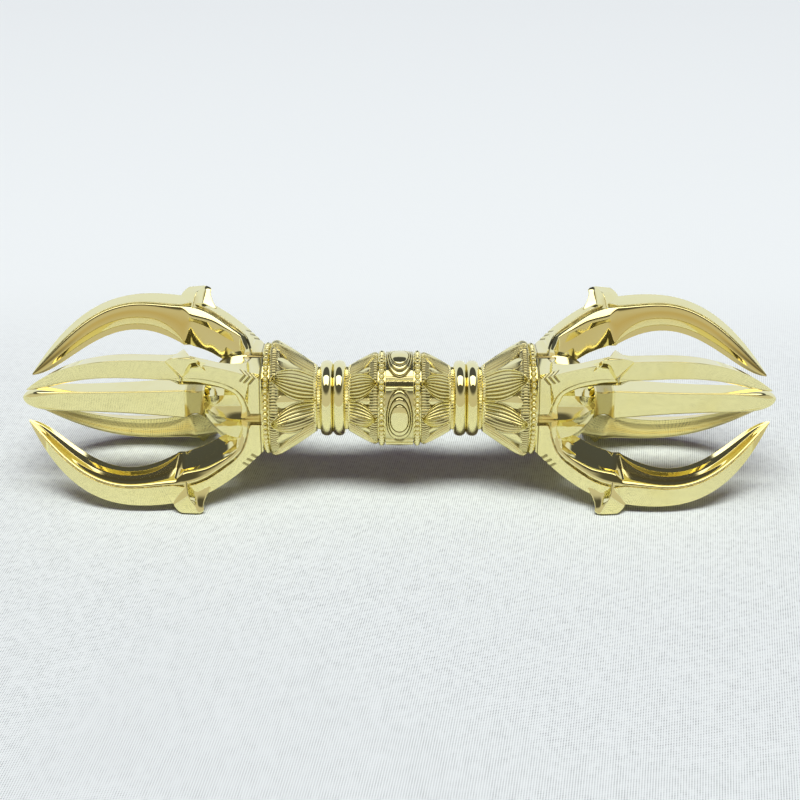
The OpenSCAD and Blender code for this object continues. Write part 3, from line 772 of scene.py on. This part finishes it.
class VAJRA_OT_prong_hubs(bpy.types.Operator):
    """Makes the two hubs, each a square block drawn out into a fluted calyx"""
    bl_idname = "vajra.prong_hubs"
    bl_label = "Prong Hubs"

    def execute(self, context):
        grip = in_mm(context.scene.vajra_grip)
        size = in_mm(context.scene.vajra_crown)
        cols, rows = 576, 80
        turn = angles(cols)
        seat = turn % (math.pi / 2) - math.pi / 4
        flat = size.hub_w / 2 / np.cos(seat)
        tip = size.hub_tip_d / 2
        q = np.linspace(0, 1, rows)[:, None]
        start = size.root_len + 0.4
        flute = np.abs((turn * 6 / math.pi) % 1 - 0.5) * 2
        ridge = tip + (size.calyx_d / 2 - tip) * (1 - q ** 2.7)
        calyx = ridge - size.flute_deep * ridge / 9.5 * (1 - flute ** 2)
        x = start + (size.hub_len - start) * q + 0.35 * flute * q ** 4
        tenon = size.hub_len - 4.6
        ends = np.array([size.hub_len - 0.03, tenon, tenon, 6.3, 6.3, 0])[:, None] + 0 * turn
        x = np.concatenate([0 * turn[None], start - 0.1 + 0 * turn[None], x, ends])
        inner = hoops([1.65, 1.65, 0.05, 0.05, grip.bore_d / 2, grip.bore_d / 2], cols)
        points, faces = turned(x, np.concatenate([flat[None], flat[None], calyx, inner]))
        # Painted shade: a little darker at the bottom of each flute
        groove = 0.1 * (1 - flute) + 0 * q
        hollow = np.concatenate([0 * groove[:2], groove, 0 * inner])
        skin = points + (size.crown_x, 0, 0), faces
        brass = chased_brass(context.scene.vajra_finish)
        both_ends("fluted_calyx", "prong_hub", skin, brass, {"hollow": hollow}, 28)
        return {"FINISHED"}


class VAJRA_OT_centre_prongs(bpy.types.Operator):
    """Makes the two square centre prongs with their hollowed collars"""
    bl_idname = "vajra.centre_prongs"
    bl_label = "Centre Prongs"

    def execute(self, context):
        size = in_mm(context.scene.vajra_crown)
        base, blade = size.hub_len, size.hub_len + size.collar_len
        point = size.centre_reach - size.point_len
        profile = [(base - 4.4, 1.35), (base - 0.02, 1.35), (base, 2.6),
                   (base, size.collar_w / 2 - 0.1)]
        for t in np.linspace(0, 1, 25):
            profile.append((base + 0.1 + (size.collar_len - 0.2) * t,
                            size.collar_w / 2 - size.collar_hollow * math.sin(math.pi * t)))
        grow = (size.centre_root_w - size.centre_w) / 2
        for t in np.linspace(0, 1, 30):
            profile.append((blade + 0.02 + (point - blade) * t,
                            size.centre_w / 2 + grow * (1 - t) ** 2))
        for t in np.sin(np.linspace(0.06, math.pi / 2, 28)):
            profile.append((point + size.point_len * t,
                            max(size.centre_w / 2 * max(1 - t ** 3, 0) ** 0.6, 0.01)))
        profile = np.array(profile)
        turns = np.array([(1, 1), (1, -1), (-1, -1), (-1, 1)])
        rings = np.zeros((len(profile), 4, 3))
        rings[:, :, 0] = profile[:, :1]
        rings[:, :, 1:] = profile[:, 1, None, None] * turns
        worn = np.minimum(1.8 * size.arris + 1.2 * smooth(profile[:, :1], point - 4, size.centre_reach),
                          0.8 * profile[:, 1:])
        points, faces = loft(softened(rings, worn))
        points = points + (size.crown_x, 0, 0)
        away = points[:, 0] - size.crown_x
        # Painted shade: the hollowed collar is darkened
        hollow = 0.9 * smooth(away, base, base + 0.6) * (1 - smooth(away, blade - 0.6, blade))
        brass = polished_brass(context.scene.vajra_finish)
        both_ends("centre_blade", "centre_prong", (points, faces), brass, {"hollow": hollow}, 40)
        return {"FINISHED"}


def ridge_r(size, x):
    """Radius of a side prong's ridge from the root to the end of the hook."""
    hook_end = size.hook_at + size.hook_len
    top = size.bulge_d / 2 - 0.5
    return size.root_d / 2 + (top - size.root_d / 2) * (1 - (1 - x / hook_end) ** 1.75)


def other_flank(flank):
    return [(x, -wide, z) for x, wide, z in reversed(flank)]


def ring_of(top, flank, bottom):
    """Closed ring of a prong from its ridge point, one flank and its inner point."""
    return [top, *flank, bottom, *other_flank(flank)]


def with_border(facet, border, line_w):
    """Flank points from the facet's edge to the border's edge, with the incised line between them."""
    facet, border = np.array(facet, float), np.array(border, float)
    span = np.linalg.norm(border - facet) + 1e-9
    way = (border - facet) / span
    inward = np.array([0, way[2], -way[1]])
    line = facet + min(line_w, 0.25 * span) * way + min(0.85 * line_w, 0.2 * span) * inward
    start = facet + min(2 * line_w, 0.5 * span) * way
    return [tuple(facet), tuple(line), tuple(start), tuple(border)]


def root_ring(size, seat_x, ridge_x, edge_x, crest):
    """Ring of the root: it fills a quarter round the hub, with a sunk valley at each side."""
    plane = size.valley_d / 2 / math.sqrt(2) - 0.45
    seat_r = size.hub_w / 2 + 0.05
    flank = [(0.5 * edge_x, plane - 0.72, plane + 1.12), (0.52 * edge_x, plane - 0.95, plane + 0.62),
             (0.8 * edge_x, plane - 0.1, plane + 0.06 + crest),
             (edge_x, plane - 0.2 * crest, plane - 0.05)]
    for part in (0.35, 0.7, 1):
        level = plane + (seat_r - plane) * part
        flank.append((edge_x + (seat_x - edge_x) * part, level - 0.07, level))
    return ring_of((ridge_x, 0, ridge_r(size, ridge_x)), flank, (seat_x, 0, seat_r))


def stem_ring(size, ridge_x, groove, border, arris, inner_r):
    """Ring of the stem through its ridge, the incised line, the border and the arris of the scoop."""
    wide = size.stem_w / 5.2
    groove = (groove[0], groove[1] * wide, groove[2])
    border = (border[0], border[1] * wide, border[2])
    x = border[0]
    middle = ((border[1] + arris[0]) / 2 - 0.1, (border[2] + arris[1]) / 2)
    corner = (0.2 * arris[0], inner_r + 0.2 * (arris[1] - inner_r))
    flank = with_border(groove, border, 0.45) + [(x, *middle), (x, *arris), (x, *corner)]
    return ring_of((ridge_x, 0, ridge_r(size, ridge_x)), flank, (x, 0, inner_r))


# Stem from the arch to the shoulder: the ridge's place, the groove and the border as place, half width
# and radius, the arris of the scoop as half width and radius, and the inner edge's radius
STEM = (
    (2.0, (2.6, 4.7, 9.0), (3.95, 5.05, 8.5), (4.0, 6.8), 6.1),
    (2.8, (3.2, 3.7, 10.9), (4.5, 3.9, 10.3), (2.8, 7.3), 6.25),
    (3.6, (3.8, 3.15, 12.1), (4.95, 3.3, 11.7), (2.1, 8.0), 6.45),
    (5.2, (5.2, 2.5, 13.65), (5.9, 2.9, 12.6), (1.5, 8.9), 6.9),
    (8.2, (8.2, 2.05, 16.0), (8.4, 2.5, 14.1), (1.0, 10.7), 8.0),
    (11.0, (11.0, 2.1, 17.9), (11.2, 2.6, 15.6), (1.1, 12.3), 9.6),
    (13.0, (13.0, 2.3, 18.8), (13.1, 2.7, 16.0), (1.5, 13.9), 10.4),
    (14.8, (14.8, 2.5, 19.3), (14.8, 2.8, 16.35), (1.75, 14.5), 11.0),
    (15.5, (15.5, 2.55, 19.45), (15.4, 2.85, 16.55), (1.7, 14.5), 11.2),
)


def blade_rings(size, shares):
    """Rings of the blade at shares of its way from the shoulder to the tip."""
    hook_end, high = size.hook_at + size.hook_len, size.bulge_d / 2
    run = size.prong_reach - hook_end
    tip_r, low = size.tip_span / 2, high - size.blade_deep
    tops = bezier([(hook_end, high - 0.5), (hook_end + 0.41 * run, high + 1.2),
                   (hook_end + 0.71 * run, high - 1.6), (size.prong_reach, tip_r)], shares)
    heel_x = size.shoulder_at
    run = size.prong_reach - heel_x
    lows = bezier([(heel_x, size.shoulder_span / 2), (heel_x + 0.2 * run, low + 0.4),
                   (heel_x + 0.53 * run, low + 5.6), (heel_x + 0.76 * run, tip_r - 0.2),
                   (size.prong_reach, tip_r)], shares)
    rings = []
    for s, top, low in zip(shares, tops, lows):
        taper = 1 - s ** 2.6
        half = size.blade_w / 2 * taper
        heel = max(0, 1 - s / 0.22) ** 2
        deep = size.groove_deep * taper
        arris = (half - deep) * (1 - 0.8 * heel)
        corners = ((0.335 - 0.06 * heel, half), (0.44 - 0.06 * heel, half - 0.1 * taper),
                   (0.57 + 0.07 * heel, half - (0.59 + 0.45 * heel) * deep), (0.7 + 0.24 * heel, arris),
                   (0.85 + 0.12 * heel, 0.38 * arris))
        flank = []
        for depth, wide in corners:
            spot = top + (low - top) * depth
            flank.append((spot[0], wide, spot[1]))
        flank = with_border(flank[0], flank[1], 0.24) + flank[2:]
        rings.append(ring_of((top[0], 0, top[1]), flank, (low[0], 0, low[1])))
    return rings


# Hook from its foot up: front point as share of its length and drop from its top, then side corner,
# cove and back corner as share of its length, share of its half width and drop
HOOK = (
    ((1.015, 4.15), (0.56, 0.98, 5.85), (0.28, 0.55, 5.6), (-0.17, 0.3, 5.15)),
    ((0.992, 2.25), (0.5, 0.965, 3.55), (0.27, 0.3, 3.7), (-0.046, 0.2, 3.65)),
    ((0.954, 1.7), (0.44, 0.95, 2.45), (0.25, 0.24, 2.5), (0.023, 0.16, 2.45)),
    ((0.908, 1.25), (0.38, 0.74, 1.8), (0.22, 0.22, 1.65), (0.046, 0.15, 1.55)),
    ((0.8, 0.55), (0.31, 0.32, 0.7), (0.18, 0.16, 0.65), (0.023, 0.12, 0.75)),
    ((0.723, 0.25), (0.26, 0.08, 0.05), (0.16, 0.05, 0.15), (0.07, 0.04, 0.35)),
)


def hook_rings(size):
    """Rings of the hook, each a lozenge with hollow back edges, from its foot up to its ridge."""
    top = ridge_r(size, size.hook_at + size.hook_len / 2) + size.hook_rise
    half, tall = size.hook_w / 2, size.hook_rise / 2.6
    rings = []
    for front, *corners in HOOK:
        ring = [(size.hook_at + size.hook_len * front[0], 0, top - tall * front[1])]
        for share_x, share_w, drop in corners:
            ring.append((size.hook_at + size.hook_len * share_x, half * share_w, top - tall * drop))
        rings.append(ring + other_flank(ring[1:]))
    return np.array(rings)


def with_facets(skin):
    """Softened rings with more points on both facets beside the ridge."""
    made = []
    for start, stop in ((CORNER - 1, CORNER), (0, -1)):
        span = (skin[:, stop] - skin[:, start])[:, None]
        wide = np.linalg.norm(span, axis=2, keepdims=True)
        steps = np.linspace(0.1, 1.5, FACET)[:, None] / np.maximum(wide, 1.6)
        made.append(skin[:, start, None] + span * steps)
    return np.concatenate([skin[:, :CORNER], made[0], skin[:, CORNER:], made[1][:, ::-1]], 1)


def beside(values):
    """Values of a ring's corner points, with zeros for the points on its facets."""
    return np.concatenate([values[:CORNER], np.zeros(FACET), values[CORNER:], np.zeros(FACET)])


def with_chevrons(skin):
    """Rings with the chevrons cut into the ridge and the facets beside it."""
    across = np.abs(skin[..., 1])
    bow = skin[..., 0] - LEAN * across
    lines = [1 - smooth(np.abs(bow - start), 0.06, 0.22) for start in CHEVRONS]
    depth = 0.17 * np.maximum.reduce(lines) * (1 - smooth(across, 1.1, 1.4))
    depth[:, CORNER + FACET:-FACET] = 0
    cut = skin.copy()
    cut[..., 2] -= depth
    return cut


def per_corner(top, flank, bottom):
    """Values for the corners of a prong's ring: its ridge, its two flanks and its inner point."""
    return np.array([top, *flank, bottom, *flank[::-1]])


def side_prong(size):
    """Points, faces and marks of a side prong that stands up along +Z, in mm."""
    cusp = size.root_len + size.cusp_len
    rings = [root_ring(size, 0, 0, 0, 0), root_ring(size, size.root_len, 1.2, cusp, 0.25)]
    rings += [stem_ring(size, *station) for station in STEM]
    rings += blade_rings(size, 0.99 * np.linspace(0, 1, 30))
    rings = faired(np.array(rings), STEPS)
    worn = per_corner(1, [0.6, 0.5, 2.6, 3.0, 0.7, 1.0, 0.7], 0.7) * size.arris
    cove = np.array([1, 1, 3, 1, 1, 3, 1]) * size.arris
    skin = with_chevrons(with_facets(softened(rings, worn)))
    rows, ring = skin.shape[:2]
    points, faces = joined(loft(skin), loft(softened(hook_rings(size), cove)))
    # Painted shade: dark in the incised line beside the ridge's facet and a little at the other edges
    deep = per_corner(0, [0.1, 1, 0, 0, 0.1, 0.1, 0.1], 0.1)
    # Painted bounce: warm gold on the scoop and the inner facets, standing in for light bounced between
    # the prongs
    gilt = per_corner(0, [0, 0, 0, 0.4, 0.9, 0.5, 0.2], 0.2)
    marks = {"along": points[:, 0], "across": points[:, 1]}
    for name, shares in (("hollow", deep), ("gilt", gilt)):
        marks[name] = np.zeros(len(points))
        marks[name][:rows * ring] = np.tile(beside(np.repeat(shares, CORNER)), rows)
    # The painted bounce fades along the stem, and the valleys between the roots get their own painted
    # bounce and painted shade
    blade_row = STEPS * (2 + len(STEM))
    root_rows, seam_rows = 10, 7
    stem = np.repeat(smooth(np.arange(rows), blade_row - 12, blade_row), ring)
    marks["gilt"][:rows * ring] *= 0.25 + 0.75 * stem
    valley = beside(np.isin(np.arange(ring - 2 * FACET) // CORNER, (3, 4, 12, 13))) > 0
    marks["gilt"][:root_rows * ring][np.tile(valley, root_rows)] = 1
    marks["hollow"][:seam_rows * ring][np.tile(valley, seam_rows)] = 0.3
    return points, faces, marks


class VAJRA_OT_side_prongs(bpy.types.Operator):
    """Makes the eight side prongs with their roots, hooks and hollow-ground blades"""
    bl_idname = "vajra.side_prongs"
    bl_label = "Side Prongs"

    def execute(self, context):
        size = in_mm(context.scene.vajra_crown)
        points, faces, marks = side_prong(size)
        brass = prong_brass(context.scene.vajra_finish)
        for name, angle in PLACES.items():
            turn = np.array(Matrix.Rotation(math.radians(angle), 3, "X"))
            placed = (points + (size.crown_x, 0, 0)) @ turn.T
            both_ends(f"blade_{name}", f"prong_{name}", (placed, faces), brass, marks, 38)
        return {"FINISHED"}


# Studio

class VAJRA_OT_stage(bpy.types.Operator):
    """Sets up the floor, the surroundings, the overhead light and the camera"""
    bl_idname = "vajra.stage"
    bl_label = "Stage"

    def execute(self, context):
        scene = context.scene
        finish = scene.vajra_finish
        low = cad_box[0][2]
        half = 6
        corners = [(half * x, half * y, low) for x, y in ((-1, -1), (1, -1), (1, 1), (-1, 1))]
        mesh = bpy.data.meshes.new("floor")
        mesh.from_pydata(corners, [], [(0, 1, 2, 3)])
        mesh.materials.append(floor_cloth(finish))
        linked("floor", mesh)
        self.surroundings(scene, finish)
        lamp = bpy.data.lights.new("overhead_softbox", "AREA")
        lamp.shape = "RECTANGLE"
        lamp.size, lamp.size_y = 2.0, 0.8
        lamp.energy = 64
        light = linked("overhead_softbox", lamp)
        light.location = (0, -0.38, 2.2)
        light.rotation_euler = (math.radians(10), 0, 0)
        light.visible_glossy = False
        camera = bpy.data.cameras.new("camera")
        camera.lens, camera.sensor_width = 89.46, 36
        camera.clip_start = 0.01
        view = linked("camera", camera)
        tilt, roll = math.radians(27), math.radians(0.12)
        aim = Matrix.Rotation(math.pi / 2 - tilt, 4, "X")
        shift = Matrix.Translation((0.0001, -0.0004, 0.4))
        view.matrix_world = aim @ shift @ Matrix.Rotation(roll, 4, "Z")
        scene.camera = view
        scene.view_settings.view_transform = "Standard"
        return {"FINISHED"}

    def surroundings(self, scene, finish):
        """Dim room that only reflections show: a bright ceiling panel, a pale wall behind and a dimmer
        one in front."""
        world = bpy.data.worlds.new("studio")
        world.use_nodes = True
        world.node_tree.nodes.clear()
        scene.world = world
        tools = Signal(world.node_tree)
        back = tools.node("ShaderNodeSeparateXYZ", {"Vector": tools.node("ShaderNodeTexCoord")}, 1)
        up = back.other(2)
        behind = back.step(-0.1, 0.3)
        level = 0.09 + 0.86 * behind * (1 - up.step(0.66, 0.72))
        level = level + 0.52 * (1 - behind) * (1 - up.step(0.5, 0.72))
        level = level + 2.4 * (1 - abs(back + 0.09).step(0.25, 0.275)) * up.step(0.8, 0.86)
        hue = behind.blend((1, 0.95, 0.86), (0.87, 0.93, 1.15))
        seen = tools.node("ShaderNodeLightPath")
        glossy = seen.other("Is Glossy Ray") + seen.other("Is Transmission Ray")
        levels = ((hue, level), ((0.55, 0.15, 1.4, 1), 0.085), (opaque(finish.cloth), 1.0))
        room, dim, sheet = (tools.node("ShaderNodeBackground", {"Color": colour, "Strength": strength})
                            for colour, strength in levels)
        lit = tools.node("ShaderNodeMixShader", {0: glossy, 1: dim, 2: room})
        both = tools.node("ShaderNodeMixShader", {0: seen, 1: lit, 2: sheet})
        tools.node("ShaderNodeOutputWorld", {"Surface": both})


class VAJRA_PT_panel(bpy.types.Panel):
    """Lists the pieces and the sizes and finishes they are made from"""
    bl_idname = "VAJRA_PT_panel"
    bl_label = "Vajra"
    bl_space_type = "VIEW_3D"
    bl_region_type = "UI"
    bl_category = "Vajra"

    def draw(self, context):
        for operator in OPERATORS:
            self.layout.operator(operator.bl_idname)
        for name, kind in GROUPS.items():
            box = self.layout.box()
            for value in kind.__annotations__:
                box.prop(getattr(context.scene, name), value)


GROUPS = {"vajra_grip": VajraGrip, "vajra_crown": VajraCrown, "vajra_finish": VajraFinish}
OPERATORS = (VAJRA_OT_tie_rod, VAJRA_OT_eye_band, VAJRA_OT_beaded_rings, VAJRA_OT_lotus_cups,
             VAJRA_OT_waist_ferrules, VAJRA_OT_prong_hubs, VAJRA_OT_centre_prongs,
             VAJRA_OT_side_prongs, VAJRA_OT_stage)


def register():
    for kind in (*GROUPS.values(), *OPERATORS, VAJRA_PT_panel):
        bpy.utils.register_class(kind)
    for name, kind in GROUPS.items():
        setattr(bpy.types.Scene, name, bpy.props.PointerProperty(type=kind))


def unregister():
    for name in GROUPS:
        delattr(bpy.types.Scene, name)
    for kind in reversed((*GROUPS.values(), *OPERATORS, VAJRA_PT_panel)):
        bpy.utils.unregister_class(kind)


def main():
    register()
    for operator in OPERATORS:
        group, name = operator.bl_idname.split(".")
        getattr(getattr(bpy.ops, group), name)()


if __name__ == "__main__":
    main()
